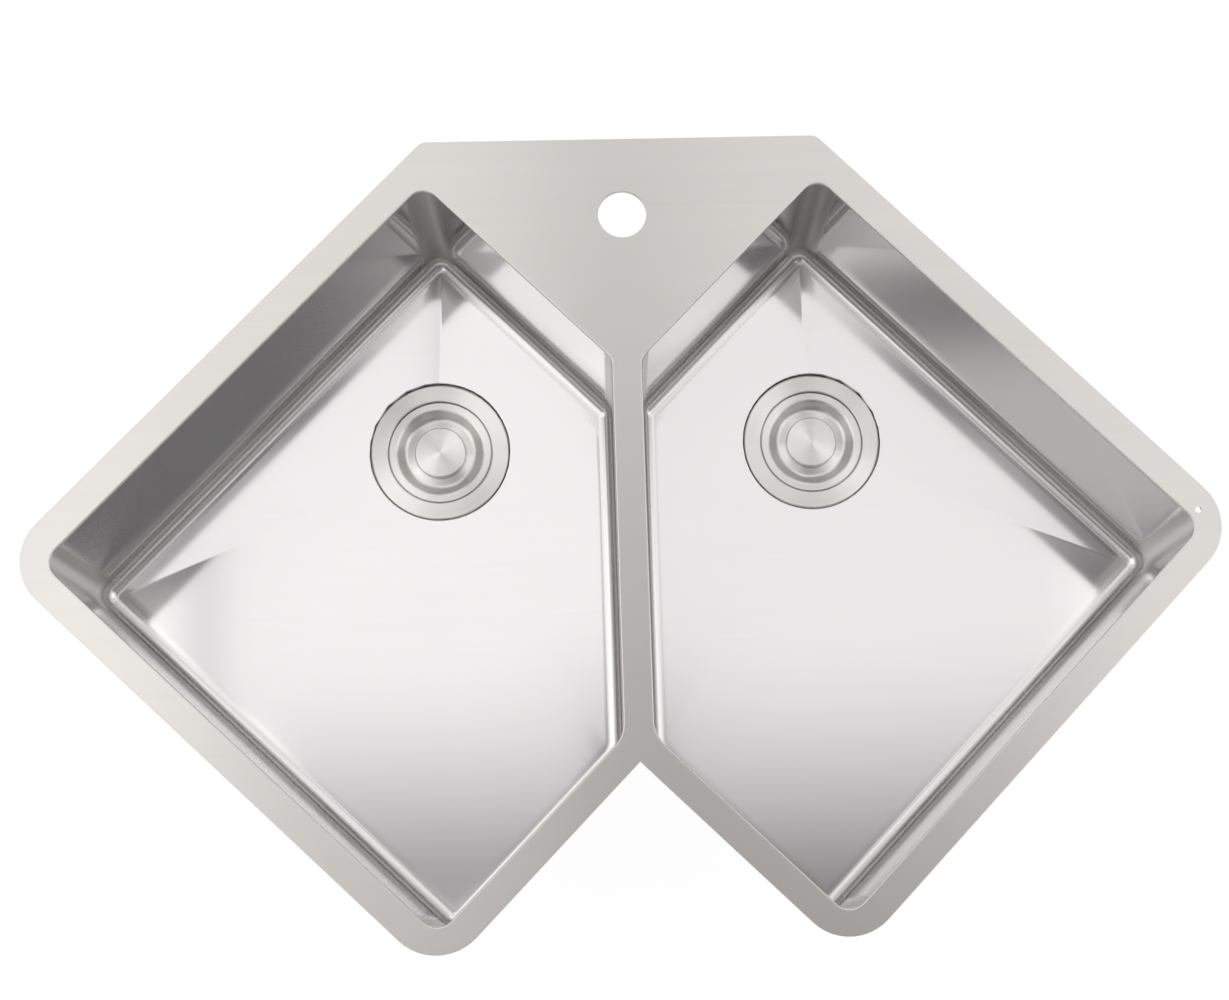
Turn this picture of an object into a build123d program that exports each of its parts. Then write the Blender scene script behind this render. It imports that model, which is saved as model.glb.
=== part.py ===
"""Corner kitchen sink with two bowls, in millimetres.

Two square bowls hang at 45 degrees under one flat deck that fits the corner of a worktop. A narrow
divider cuts off the corner where the bowls meet. Each bowl has vertical walls folded up from a
creased floor, and a strainer with a lift-out basket under a dished lid.

The origin is the axis of the tap hole, at the underside of the deck, where the deck rests on the
worktop. +X is to the right, +Y to the back corner of the room and +Z up. Sizes of the right-hand
side are given, and the left is its mirror image: side is +1 for the right and -1 for the left.
"""

import os
from math import sqrt

from build123d import *

# ---- Deck and bowls in plan ----
bowl_side = 400.0  # square opening, before the divider cuts off its inner corner
bowl_offset = 151.0  # from the centre plane to the bowl's front and back corners
divider_width = 23.0
rim_back = 24.0  # rim beside the back walls
rim_front = 22.0  # rim beside the front walls
tap_to_back = 60.0  # from the tap hole to the deck's back edge
rim_at_corner = 33.2  # from the bowls' back corners to the deck's back edge
tap_hole_radius = 18.5
corner_radius = 14.0  # square corners of the openings
divider_front_radius = 25.0  # blunt corners at the front end of the divider
divider_back_radius = 13.0  # blunt corners at the back end of the divider
tip_radius = 40.0  # rounded tips of the rim
back_corner_radius = 10.0
hang_hole_radius = 2.5
hang_hole_to_opening = 8.0  # small hole in the right tip, from the opening's back edge
hang_hole_to_tip = 32.0  # from the tip's corner, along the rim

# ---- Sheet ----
deck_thickness = 2.0
bowl_sheet = 1.5
opening_round = 1.2  # rounded upper edge of the openings
rim_round = 0.5  # rounded upper edge of the rim

# ---- Bowl in section ----
bowl_depth = 198.0  # from the top of the deck to the foot of the walls
fold_radius = 12.0  # inside radius of the fold from wall to floor
floor_land = 1.5  # level strip between the fold and the creased floor
floor_fall = 6.0  # from the foot of the walls to where the creases meet
drain_offset = 155.5  # from the centre plane to the drain
drain_to_tap = 142.5  # from the tap hole forward to the drains
seat_depth = 1.5  # strainer seat below the point where the creases meet
seat_gap = 1.6  # between the strainer's flange and the wall of its seat
seat_flare = 1.6  # how far the wall of the seat leans out
drain_hole_gap = 0.7  # between the strainer's mouth and its hole in the floor

# ---- Strainer: heights from the seat, radii from the drain axis ----
neck_radius = 40.0
ledge_width = 2.8  # ledge inside the mouth, where the basket hangs
ledge_depth = 2.5
flange_width = 14.2
flange_thickness = 1.2
flange_gasket = 1.0
flange_round = 1.2
flange_skirt = 0.8  # turned-down edge of the flange
body_sheet = 1.5
cup_depth = 42.0
cup_round = 9.0
cup_floor_fall = 2.0
outlet_radius = 21.5
outlet_length = 23.5
outlet_wall = 2.2
guide_hub_radius = 7.0
guide_spoke_width = 3.0
guide_thickness = 2.0
guide_spokes = 4

under_washer_thickness = 3.0
friction_ring_thickness = 1.0
washer_width = 11.7
nut_wall = 8.5
nut_height = 12.0
nut_lugs = 8
nut_lug_reach = 7.0
nut_lug_width = 11.0
thread_clearance = 0.2
loose_clearance = 0.4

coupling_wall = 4.8
coupling_height = 17.0
coupling_lugs = 6
coupling_lug_reach = 4.0
coupling_lug_width = 8.0
coupling_lip = 3.0
tail_washer_thickness = 3.5
tail_hole_radius = 19.5  # takes a 38 mm waste pipe

# ---- Basket ----
basket_sheet = 0.8
basket_clearance = 0.5  # round the basket's rim
basket_gap = 1.6  # between the basket's wall and the neck
basket_depth = 30.0
basket_taper = 1.9  # how much narrower the basket is at its floor
basket_round = 5.0
wall_slots = 16
wall_slot_width = 3.2
wall_slot_top = 9.0  # from the ledge down to the slots
wall_slot_length = 14.0
wall_slot_cut = 6.0  # how far inside the basket's top radius the slots are cut
floor_hole_radius = 2.2
inner_holes = 8
inner_hole_ring = 14.0
outer_holes = 12
outer_hole_ring = 22.5
post_radius = 3.2
post_knob_radius = 8.0
post_knob_height = 3.0
post_to_lid = 1.2  # from the top of the post to the lid above it
stopper_overlap = 5.5  # how far the stopper covers the edge of the outlet
stopper_collar = 9.0  # radius of the stopper where it meets the basket
stopper_thickness = 4.0
stopper_clearance = 0.3
post_clearance = 0.6

# ---- Lid ----
lid_sheet = 1.0
lid_clearance = 1.0
lid_seal_thickness = 1.5
lid_seal_inset = 2.0  # from the edge of the trough out to the seal under the lid
lid_ring_width = 6.3
trough_slope_width = 6.5  # from the lid's ring down to the lowest line of the trough
trough_width = 6.5  # from there to the land under the knob
trough_depth = 6.5
trough_round = 4.0
knob_land = 1.2  # land of the lid round the knob
knob_height = 5.2
knob_round = 1.4
knob_rise = 0.4  # centre of the knob above its edge
knob_seat_depth = 5.2  # land of the lid under the knob, below the lid's ring

# ---- Sound pads, deck stiffener and rim seal ----
pad_thickness = 3.0
pad_corner_radius = 8.0
wall_pad_height = 95.0
wall_pad_top = 45.0  # from the deck down to the wall pads
wall_pad_margin = 60.0  # from the ends of the wall
floor_pad_margin = 22.0
floor_pad_drain_gap = 28.0  # from the edge of the strainer seat
stiffener_thickness = 3.0
stiffener_reach = 40.0  # from the tap hole to its front and back edges
stiffener_half_width = 122.0
stiffener_gap = 8.0  # from the bowls' walls
rim_seal_inset = 4.0  # from the edge of the rim
rim_seal_width = 8.0
rim_seal_thickness = 1.5

SIDES = {"left": -1, "right": 1}


# ---- Plan geometry ----
half_diagonal = bowl_side / sqrt(2)
back_corner_y = tap_to_back - rim_at_corner
centre_y = back_corner_y - half_diagonal
front_corner_y = centre_y - half_diagonal
notch_y = front_corner_y + bowl_offset - rim_front * sqrt(2)
divider_cut = bowl_offset - divider_width / 2

# right-hand opening, in the order back, outer, front, front end and back end of the divider
back_corner = (bowl_offset, back_corner_y)
outer_corner = (bowl_offset + half_diagonal, centre_y)
front_corner = (bowl_offset, front_corner_y)
divider_front = (divider_width / 2, front_corner_y + divider_cut)
divider_back = (divider_width / 2, back_corner_y - divider_cut)
opening_corners = (back_corner, outer_corner, front_corner, divider_front, divider_back)
opening_radii = (corner_radius, corner_radius, corner_radius, divider_front_radius, divider_back_radius)

# rim: its back line is x + y = rim_back_line, its outer front line x - y = rim_front_line
rim_back_line = sum(back_corner) + rim_back * sqrt(2)
rim_front_line = front_corner[0] - front_corner[1] + rim_front * sqrt(2)
deck_back_corner = (rim_back_line - tap_to_back, tap_to_back)
deck_tip = ((rim_back_line + rim_front_line) / 2, (rim_back_line - rim_front_line) / 2)
deck_front_tip = ((rim_front_line + notch_y) / 2, (notch_y - rim_front_line) / 2)
deck_notch = (0.0, notch_y)

# ---- Heights ----
wall_foot_z = deck_thickness - bowl_depth
crease_meet_z = wall_foot_z - floor_fall
seat_z = crease_meet_z - seat_depth

# ---- Strainer: radii from the drain axis ----
mouth_radius = neck_radius + ledge_width
neck_outer_radius = neck_radius + body_sheet
mouth_outer_radius = mouth_radius + body_sheet
drain_hole_radius = mouth_outer_radius + drain_hole_gap
flange_radius = mouth_radius + flange_width
seat_radius = flange_radius + seat_gap
outlet_outer_radius = outlet_radius + outlet_wall
washer_radius = mouth_outer_radius + washer_width
nut_radius = neck_outer_radius + nut_wall
coupling_radius = outlet_outer_radius + coupling_wall
basket_top_radius = neck_radius - basket_gap
basket_bottom_radius = basket_top_radius - basket_taper
stopper_radius = outlet_radius + stopper_overlap
lid_radius = mouth_radius - lid_clearance
trough_outer_radius = lid_radius - lid_ring_width
trough_low_radius = trough_outer_radius - trough_slope_width
trough_inner_radius = trough_low_radius - trough_width
knob_radius = trough_inner_radius - knob_land

# ---- Strainer: heights from the seat ----
flange_under = flange_gasket
flange_top = flange_under + flange_thickness
step_under = -ledge_depth - body_sheet
cup_edge = -cup_depth
cup_floor = -cup_depth - cup_floor_fall
outlet_end = cup_floor - outlet_length
washer_under = -bowl_sheet - under_washer_thickness
nut_top = washer_under - friction_ring_thickness
basket_floor = -ledge_depth - basket_depth
lid_under = -ledge_depth + basket_sheet + lid_seal_thickness
knob_seat = lid_under + lid_sheet - knob_seat_depth


def mirrored(point, side):
    """A point of the right-hand plan, moved to the given side."""
    return (side * point[0], point[1])


def drain_axis(side):
    """Upright axis of one drain."""
    return Axis((side * drain_offset, -drain_to_tap, seat_z), (0, 0, 1))


def section_plane(side):
    """Upright plane through a drain: local x is the radius and local y the height from the seat."""
    return Plane(origin=(side * drain_offset, -drain_to_tap, seat_z), x_dir=(1, 0, 0), z_dir=(0, -1, 0))


def level_plane(side, height):
    """Level plane centred on a drain, at a height from the seat."""
    return Plane(origin=(side * drain_offset, -drain_to_tap, seat_z + height))


def turned(side, outline):
    """Solid of revolution about a drain axis, from a closed outline of (radius, height) points."""
    with BuildPart() as solid:
        with BuildSketch(section_plane(side)):
            with BuildLine():
                Polyline(*outline, close=True)
            make_face()
        revolve(axis=drain_axis(side))
    return solid.part


def ring_outline(inner, outer, bottom, top):
    """Outline of a plain ring of rectangular section."""
    return ((inner, bottom), (outer, bottom), (outer, top), (inner, top))


def corner_at(edges, point, height):
    """The upright edge that stands at a corner of the plan."""
    return edges.sort_by_distance(Vector(*point, height))[0]


# ---- Bowls ----
def creased_area(side, height):
    """Level face inside the folds of a bowl, whose edges are the feet of the floor's facets."""
    with BuildSketch(Plane.XY.offset(height)) as area:
        with BuildLine():
            Polyline(*(mirrored(point, side) for point in opening_corners), close=True)
        make_face()
        offset(amount=-fold_radius - floor_land, kind=Kind.INTERSECTION)
    return area.sketch


def bowl_form(side, grow):
    """Closed solid inside the faces that lie `grow` outside the bowl's inner faces."""
    corners = [mirrored(point, side) for point in opening_corners]
    foot_z = wall_foot_z - grow
    fold = fold_radius + grow
    floor = creased_area(side, foot_z)
    creases_meet = Vertex(side * drain_offset, -drain_to_tap, crease_meet_z - grow)
    seat_rim = seat_depth + floor_fall - grow
    seat_outline = (
        (0, -grow),
        (seat_radius + grow, -grow),
        (seat_radius + seat_flare + grow, seat_rim),
        (0, seat_rim),
    )
    seat = turned(side, seat_outline)
    with BuildPart() as form:
        with BuildSketch(Plane.XY):
            with BuildLine():
                Polyline(*corners, close=True)
            make_face()
            offset(amount=grow, kind=Kind.INTERSECTION)
        extrude(amount=foot_z)
        for point, radius in zip(corners, opening_radii):
            upright = corner_at(form.edges().filter_by(Axis.Z), point, wall_foot_z / 2)
            fillet(upright, radius=radius + grow)
        fillet(form.edges().group_by(Axis.Z)[0], radius=fold)
        loft(sections=[floor.face(), creases_meet])
        add(seat)
    return form.part


def make_bowl(side):
    """Folded bowl of one side, open at the top, with its strainer hole."""
    outside = bowl_form(side, bowl_sheet)
    inside = bowl_form(side, 0)
    with BuildPart() as bowl:
        add(outside)
        add(inside, mode=Mode.SUBTRACT)
        with BuildSketch(level_plane(side, 0)):
            Circle(drain_hole_radius)
        extrude(amount=bowl_sheet, both=True, mode=Mode.SUBTRACT)
    return bowl.part


# ---- Deck ----
def deck_plan():
    """Outline of the rim, with its rounded tips and the notch at the front."""
    right = (deck_back_corner, deck_tip, deck_front_tip)
    left = tuple(mirrored(point, -1) for point in reversed(right))
    tips = [mirrored(point, side) for point in (deck_tip, deck_front_tip) for side in SIDES.values()]
    back_corners = [mirrored(deck_back_corner, side) for side in SIDES.values()]
    with BuildSketch(Plane.XY) as plan:
        with BuildLine():
            Polyline(*right, deck_notch, *left, close=True)
        make_face()
        for point in tips:
            fillet(plan.vertices().sort_by_distance(Vector(*point))[0], radius=tip_radius)
        for point in back_corners:
            fillet(plan.vertices().sort_by_distance(Vector(*point))[0], radius=back_corner_radius)
    return plan.sketch


def make_deck():
    """Flat deck and rim, with both openings, the tap hole and the small hole in the right tip."""
    along = hang_hole_to_tip / sqrt(2)
    inward = (rim_back - hang_hole_to_opening) / sqrt(2)
    hang_hole = (deck_tip[0] - along - inward, deck_tip[1] + along - inward)
    plan = deck_plan()
    with BuildPart() as deck:
        with BuildSketch(Plane.XY):
            add(plan)
            Circle(tap_hole_radius, mode=Mode.SUBTRACT)
            with Locations(hang_hole):
                Circle(hang_hole_radius, mode=Mode.SUBTRACT)
        extrude(amount=deck_thickness)
        rim_edges = deck.faces().sort_by(Axis.Z)[-1].outer_wire().edges()
        fillet(rim_edges, radius=rim_round)
        for side in SIDES.values():
            corners = [mirrored(point, side) for point in opening_corners]
            with BuildSketch(Plane.XY) as opening:
                with BuildLine():
                    Polyline(*corners, close=True)
                make_face()
                for point, radius in zip(corners, opening_radii):
                    fillet(opening.vertices().sort_by_distance(Vector(*point))[0], radius=radius)
            extrude(amount=deck_thickness, mode=Mode.SUBTRACT)
            top_face = deck.faces().sort_by(Axis.Z)[-1]
            middle = Vector(side * bowl_offset, centre_y, deck_thickness)
            loop = top_face.inner_wires().sort_by_distance(middle)[0]
            fillet(loop.edges(), radius=opening_round)
    return deck.part


def make_stiffener():
    """Plate under the deck that backs the tap hole, clear of both bowls."""
    wall_line = back_corner[0] - back_corner[1] - (bowl_sheet + stiffener_gap) * sqrt(2)
    front = wall_line - stiffener_reach
    shoulder_y = stiffener_half_width - wall_line
    outline = (
        (front, -stiffener_reach),
        (stiffener_half_width, shoulder_y),
        (stiffener_half_width, stiffener_reach),
    )
    with BuildPart() as plate:
        with BuildSketch(Plane.XY):
            with BuildLine():
                Polyline(*outline, *(mirrored(point, -1) for point in reversed(outline)), close=True)
            make_face()
            Circle(tap_hole_radius, mode=Mode.SUBTRACT)
        extrude(amount=-stiffener_thickness)
    return plate.part


def make_rim_seal():
    """Soft strip under the rim, on which the sink rests on the worktop."""
    plan = deck_plan()
    with BuildPart() as seal:
        with BuildSketch(Plane.XY):
            add(plan)
            offset(amount=-rim_seal_inset, kind=Kind.INTERSECTION)
        extrude(amount=-rim_seal_thickness)
        with BuildSketch(Plane.XY):
            add(plan)
            offset(amount=-rim_seal_inset - rim_seal_width, kind=Kind.INTERSECTION)
        extrude(amount=-rim_seal_thickness, mode=Mode.SUBTRACT)
    return seal.part


# ---- Sound pads ----
def make_wall_pads(side):
    """Rubber pads on the outside of the four 45 degree walls of a bowl."""
    walls = (
        (divider_back, back_corner),
        (back_corner, outer_corner),
        (outer_corner, front_corner),
        (front_corner, divider_front),
    )
    with BuildPart() as pads:
        for start, end in walls:
            first = Vector(*mirrored(start, side))
            last = Vector(*mirrored(end, side))
            along = last - first
            outward = Vector(0, 0, side).cross(along).normalized()
            middle = (first + last) * 0.5 + outward * bowl_sheet
            height = -wall_pad_top - wall_pad_height / 2
            wall = Plane(origin=middle + Vector(0, 0, height), x_dir=along, z_dir=outward)
            with BuildSketch(wall):
                width = along.length - 2 * wall_pad_margin
                RectangleRounded(width, wall_pad_height, pad_corner_radius)
            extrude(amount=pad_thickness)
    return pads.part


def make_floor_pads(side):
    """Rubber pads under the two large front facets of a bowl's floor."""
    floor = creased_area(side, wall_foot_z - bowl_sheet)
    apex = Vector(side * drain_offset, -drain_to_tap, crease_meet_z - bowl_sheet)
    facets = ((outer_corner, front_corner), (front_corner, divider_front))
    with BuildPart() as pads:
        for start, end in facets:
            middle = (Vector(*mirrored(start, side)) + Vector(*mirrored(end, side))) * 0.5
            foot = floor.edges().sort_by_distance(middle + Vector(0, 0, wall_foot_z))[0]
            first, last = foot.position_at(0), foot.position_at(1)
            normal = (last - first).cross(apex - first).normalized()
            if normal.Z > 0:
                normal = -normal
            facet = Plane(origin=first, x_dir=last - first, z_dir=normal)
            local_apex = facet.to_local_coords(apex)
            with BuildSketch(facet):
                with BuildLine():
                    Polyline((0, 0), (foot.length, 0), (local_apex.X, local_apex.Y), close=True)
                make_face()
                offset(amount=-floor_pad_margin, kind=Kind.INTERSECTION)
                with Locations((local_apex.X, local_apex.Y)):
                    Circle(seat_radius + seat_flare + floor_pad_drain_gap, mode=Mode.SUBTRACT)
            extrude(amount=pad_thickness)
    return pads.part


# ---- Strainer body and its fastenings ----
def make_drain_body(side):
    """Flanged cup with a basket ledge, an outlet and the spoked guide for the basket's post."""
    with BuildPart() as body:
        with BuildSketch(section_plane(side)):
            with BuildLine():
                Polyline(
                    (flange_radius, flange_under - flange_skirt),
                    (flange_radius, flange_top),
                    (mouth_radius, flange_top),
                    (mouth_radius, -ledge_depth),
                    (neck_radius, -ledge_depth),
                    (neck_radius, cup_edge),
                    (outlet_radius, cup_floor),
                    (outlet_radius, outlet_end),
                    (outlet_outer_radius, outlet_end),
                    (outlet_outer_radius, cup_floor - body_sheet),
                    (neck_outer_radius, cup_edge - body_sheet),
                    (neck_outer_radius, step_under),
                    (mouth_outer_radius, step_under),
                    (mouth_outer_radius, flange_under),
                    (flange_radius - flange_thickness, flange_under),
                    (flange_radius - flange_thickness, flange_under - flange_skirt),
                    close=True,
                )
            make_face()
        revolve(axis=drain_axis(side))
        rings = body.edges().filter_by(GeomType.CIRCLE)
        flange_edges = [ring for ring in rings if abs(ring.center().Z - seat_z - flange_top) < 0.01]
        fillet(flange_edges, radius=flange_round)
        rings = body.edges().filter_by(GeomType.CIRCLE)
        inner_foot = [ring for ring in rings if is_ring(ring, neck_radius, cup_edge)]
        outer_foot = [ring for ring in rings if is_ring(ring, neck_outer_radius, cup_edge - body_sheet)]
        fillet(inner_foot, radius=cup_round)
        fillet(outer_foot, radius=cup_round + body_sheet)
        with BuildSketch(level_plane(side, cup_floor - guide_thickness)):
            with PolarLocations(0, guide_spokes // 2, angular_range=180):
                Rectangle(2 * outlet_radius + outlet_wall, guide_spoke_width)
            Circle(guide_hub_radius)
            Circle(post_radius + post_clearance, mode=Mode.SUBTRACT)
        extrude(amount=guide_thickness)
    return body.part


def is_ring(edge, radius, height):
    """True for the circular edge of a strainer piece at a radius and a height from the seat."""
    return abs(edge.radius - radius) < 0.01 and abs(edge.center().Z - seat_z - height) < 0.01


def make_flange_gasket(side):
    """Flat seal between the flange and the seat pressed in the floor."""
    outer = flange_radius - flange_thickness - loose_clearance
    return turned(side, ring_outline(mouth_outer_radius + loose_clearance, outer, 0, flange_under))


def make_under_washer(side):
    """Thick rubber washer under the floor."""
    inner = mouth_outer_radius + loose_clearance
    return turned(side, ring_outline(inner, washer_radius, washer_under, -bowl_sheet))


def make_friction_ring(side):
    """Fibre ring that lets the nut turn on the washer."""
    inner = neck_outer_radius + loose_clearance
    return turned(side, ring_outline(inner, washer_radius, nut_top, washer_under))


def make_lugged_nut(side, inner, outer, lug_radius, lug_width, lugs, bottom, height):
    """Ring nut with square lugs around it."""
    with BuildPart() as nut:
        with BuildSketch(level_plane(side, bottom)):
            Circle(outer)
            with PolarLocations(0, lugs):
                with Locations((lug_radius / 2, 0)):
                    Rectangle(lug_radius, lug_width)
            Circle(inner, mode=Mode.SUBTRACT)
        extrude(amount=height)
    return nut.part


def make_lock_nut(side):
    """Large nut that pulls the strainer down on the floor."""
    inner = neck_outer_radius + thread_clearance
    lug_radius = nut_radius + nut_lug_reach
    bottom = nut_top - nut_height
    return make_lugged_nut(side, inner, nut_radius, lug_radius, nut_lug_width, nut_lugs, bottom, nut_height)


def make_coupling_nut(side):
    """Slip nut on the outlet, with a lip that holds the tail washer."""
    inner = outlet_outer_radius + thread_clearance
    lip_top = outlet_end - tail_washer_thickness
    ring = make_lugged_nut(
        side,
        inner,
        coupling_radius,
        coupling_radius + coupling_lug_reach,
        coupling_lug_width,
        coupling_lugs,
        lip_top,
        coupling_height - coupling_lip,
    )
    with BuildPart() as nut:
        add(ring)
        with BuildSketch(level_plane(side, lip_top - coupling_lip)):
            Circle(coupling_radius)
            Circle(tail_hole_radius, mode=Mode.SUBTRACT)
        extrude(amount=coupling_lip)
    return nut.part


def make_tail_washer(side):
    """Seal between the end of the outlet and the lip of the coupling nut."""
    bottom = outlet_end - tail_washer_thickness
    return turned(side, ring_outline(tail_hole_radius, outlet_outer_radius, bottom, outlet_end))


# ---- Basket ----
def make_basket(side):
    """Perforated basket that hangs by its rim on the ledge of the strainer."""
    rim_radius = mouth_radius - basket_clearance
    rim_top = -ledge_depth + basket_sheet
    with BuildPart() as basket:
        with BuildSketch(section_plane(side)):
            with BuildLine():
                Polyline(
                    (0, basket_floor),
                    (basket_bottom_radius, basket_floor),
                    (basket_top_radius, -ledge_depth),
                    (rim_radius, -ledge_depth),
                    (rim_radius, rim_top),
                    (basket_top_radius - basket_sheet, rim_top),
                    (basket_bottom_radius - basket_sheet, basket_floor + basket_sheet),
                    (0, basket_floor + basket_sheet),
                    close=True,
                )
            make_face()
        revolve(axis=drain_axis(side))
        rings = basket.edges().filter_by(GeomType.CIRCLE)
        inside_radius = basket_bottom_radius - basket_sheet
        inner_foot = [ring for ring in rings if is_ring(ring, inside_radius, basket_floor + basket_sheet)]
        outer_foot = [ring for ring in rings if is_ring(ring, basket_bottom_radius, basket_floor)]
        fillet(inner_foot, radius=basket_round - basket_sheet)
        fillet(outer_foot, radius=basket_round)
        with BuildSketch(level_plane(side, basket_floor)):
            with PolarLocations(inner_hole_ring, inner_holes):
                Circle(floor_hole_radius)
            with PolarLocations(outer_hole_ring, outer_holes):
                Circle(floor_hole_radius)
            Circle(post_radius)
        extrude(amount=basket_sheet, mode=Mode.SUBTRACT)
        with BuildSketch(level_plane(side, -wall_slot_top - wall_slot_length)):
            with PolarLocations(0, wall_slots):
                with Locations((basket_top_radius, 0)):
                    Rectangle(2 * wall_slot_cut, wall_slot_width)
        extrude(amount=wall_slot_length, mode=Mode.SUBTRACT)
    return basket.part


def make_basket_post(side):
    """Lifting post with a round knob, which runs down into the guide in the outlet."""
    foot = cup_floor - guide_thickness
    knob_top = knob_seat - lid_sheet - post_to_lid
    outline = (
        (0, foot),
        (post_radius, foot),
        (post_radius, knob_top - post_knob_height),
        (post_knob_radius, knob_top - post_knob_height),
        (post_knob_radius, knob_top),
        (0, knob_top),
    )
    return turned(side, outline)


def make_basket_stopper(side):
    """Rubber stopper under the basket, which closes the outlet when the basket is down."""
    slope = cup_floor_fall / (neck_radius - outlet_radius)
    face = cup_floor + stopper_clearance
    rim = face + slope * (stopper_radius - outlet_radius)
    top = rim + stopper_thickness
    outline = (
        (post_radius, face),
        (outlet_radius, face),
        (stopper_radius, rim),
        (stopper_radius, top),
        (stopper_collar, basket_floor),
        (post_radius, basket_floor),
    )
    return turned(side, outline)


# ---- Lid ----
def make_lid(side):
    """Dished lid: a flat ring, a rounded trough for the fingers and a land under the knob."""
    ring_top = lid_under + lid_sheet
    trough_floor = ring_top - trough_depth
    upper = (
        (0, knob_seat),
        (trough_inner_radius, knob_seat),
        (trough_low_radius, trough_floor),
        (trough_outer_radius, ring_top),
        (lid_radius, ring_top),
    )
    with BuildPart() as lid:
        with BuildSketch(section_plane(side)):
            with BuildLine():
                FilletPolyline(*upper, radius=trough_round)
                offset(amount=lid_sheet, side=Side.RIGHT, closed=True)
            make_face()
        revolve(axis=drain_axis(side))
    return lid.part


def make_lid_knob(side):
    """Turned disc on the lid, very slightly conical."""
    rim = knob_seat + knob_height
    outline = ((0, knob_seat), (knob_radius, knob_seat), (knob_radius, rim), (0, rim + knob_rise))
    with BuildPart() as knob:
        with BuildSketch(section_plane(side)) as section:
            with BuildLine():
                Polyline(*outline, close=True)
            make_face()
            fillet(section.vertices().sort_by_distance(Vector(knob_radius, rim))[0], radius=knob_round)
        revolve(axis=drain_axis(side))
    return knob.part


def make_lid_seal(side):
    """Rubber ring between the lid and the rim of the basket."""
    inner = trough_outer_radius + lid_seal_inset
    bottom = -ledge_depth + basket_sheet
    return turned(side, ring_outline(inner, lid_radius - loose_clearance, bottom, lid_under))


PAIRED = {
    "bowl": make_bowl,
    "wall_pads": make_wall_pads,
    "floor_pads": make_floor_pads,
    "drain_body": make_drain_body,
    "flange_gasket": make_flange_gasket,
    "under_washer": make_under_washer,
    "friction_ring": make_friction_ring,
    "lock_nut": make_lock_nut,
    "coupling_nut": make_coupling_nut,
    "tail_washer": make_tail_washer,
    "basket": make_basket,
    "basket_post": make_basket_post,
    "basket_stopper": make_basket_stopper,
    "lid": make_lid,
    "lid_knob": make_lid_knob,
    "lid_seal": make_lid_seal,
}


def write_piece(piece, name):
    """Label a finished piece and write it as its own file."""
    piece.label = name
    export_step(piece, f"parts/{name}.step")


os.makedirs("parts", exist_ok=True)
write_piece(make_deck(), "deck_plate")
write_piece(make_stiffener(), "deck_stiffener")
write_piece(make_rim_seal(), "rim_seal")
for side_name, side in SIDES.items():
    for piece_name, make_piece in PAIRED.items():
        write_piece(make_piece(side), f"{side_name}_{piece_name}")
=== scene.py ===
"""Corner kitchen sink with two bowls: its finishes, its pressed bowls, the studio and the camera.

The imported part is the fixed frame. Most of its solids keep their own meshes and get a finish here.
The bowls are made again as smooth sheets with soft creases and a pressed seat, in the place of the
plain faceted ones. Sizes of pieces are in millimetres and become metres when a mesh is made.
"""

import logging
from dataclasses import dataclass
from enum import Enum
from math import pi, radians, sqrt

import bpy
import numpy as np
from mathutils import Euler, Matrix
from numpy.typing import NDArray


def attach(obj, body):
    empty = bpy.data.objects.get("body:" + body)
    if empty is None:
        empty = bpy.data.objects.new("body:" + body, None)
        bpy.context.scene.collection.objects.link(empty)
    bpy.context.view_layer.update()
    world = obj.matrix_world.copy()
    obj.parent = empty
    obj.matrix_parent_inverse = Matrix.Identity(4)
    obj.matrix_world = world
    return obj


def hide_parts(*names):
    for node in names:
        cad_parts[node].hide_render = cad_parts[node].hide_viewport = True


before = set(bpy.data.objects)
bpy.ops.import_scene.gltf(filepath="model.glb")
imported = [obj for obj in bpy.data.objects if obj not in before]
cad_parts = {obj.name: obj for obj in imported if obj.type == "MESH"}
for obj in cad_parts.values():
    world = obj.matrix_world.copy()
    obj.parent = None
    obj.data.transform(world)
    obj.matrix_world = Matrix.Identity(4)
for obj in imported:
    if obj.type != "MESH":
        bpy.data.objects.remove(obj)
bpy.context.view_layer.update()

LOG = logging.getLogger("sink")
METRES = 0.001
Array = NDArray[np.float64]


class Side(Enum):
    """The two mirror halves of the sink, by the sign of X."""

    LEFT = -1
    RIGHT = 1

    @property
    def label(self) -> str:
        """Name of the half as the CAD nodes spell it."""
        return self.name.lower()


class Brushing(Enum):
    """How a steel surface was finished."""

    STRAIGHT = "straight"
    SATIN = "satin"
    TURNED = "turned"


# ---------------------------------------------------------------- meshes
def add_mesh(name: str, points: Array, faces: NDArray[np.int64], material: bpy.types.Material) -> bpy.types.Object:
    """Makes a smooth-shaded mesh object at the origin.

    Args:
        name: Name of the object and its mesh.
        points: Vertices in millimetres, one row each.
        faces: Quads as rows of four vertex numbers.
        material: Finish of the whole piece.

    Returns:
        The new object, linked to the scene.
    """
    mesh = bpy.data.meshes.new(name)
    mesh.vertices.add(len(points))
    mesh.vertices.foreach_set("co", (points * METRES).astype(np.float32).ravel())
    mesh.loops.add(faces.size)
    mesh.loops.foreach_set("vertex_index", faces.astype(np.int32).ravel())
    mesh.polygons.add(len(faces))
    mesh.polygons.foreach_set("loop_start", np.arange(0, faces.size, 4, dtype=np.int32))
    mesh.update(calc_edges=True)
    mesh.polygons.foreach_set("use_smooth", np.ones(len(faces), bool))
    mesh.materials.append(material)
    mesh.validate()
    piece = bpy.data.objects.new(name, mesh)
    bpy.context.scene.collection.objects.link(piece)
    return piece


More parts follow.
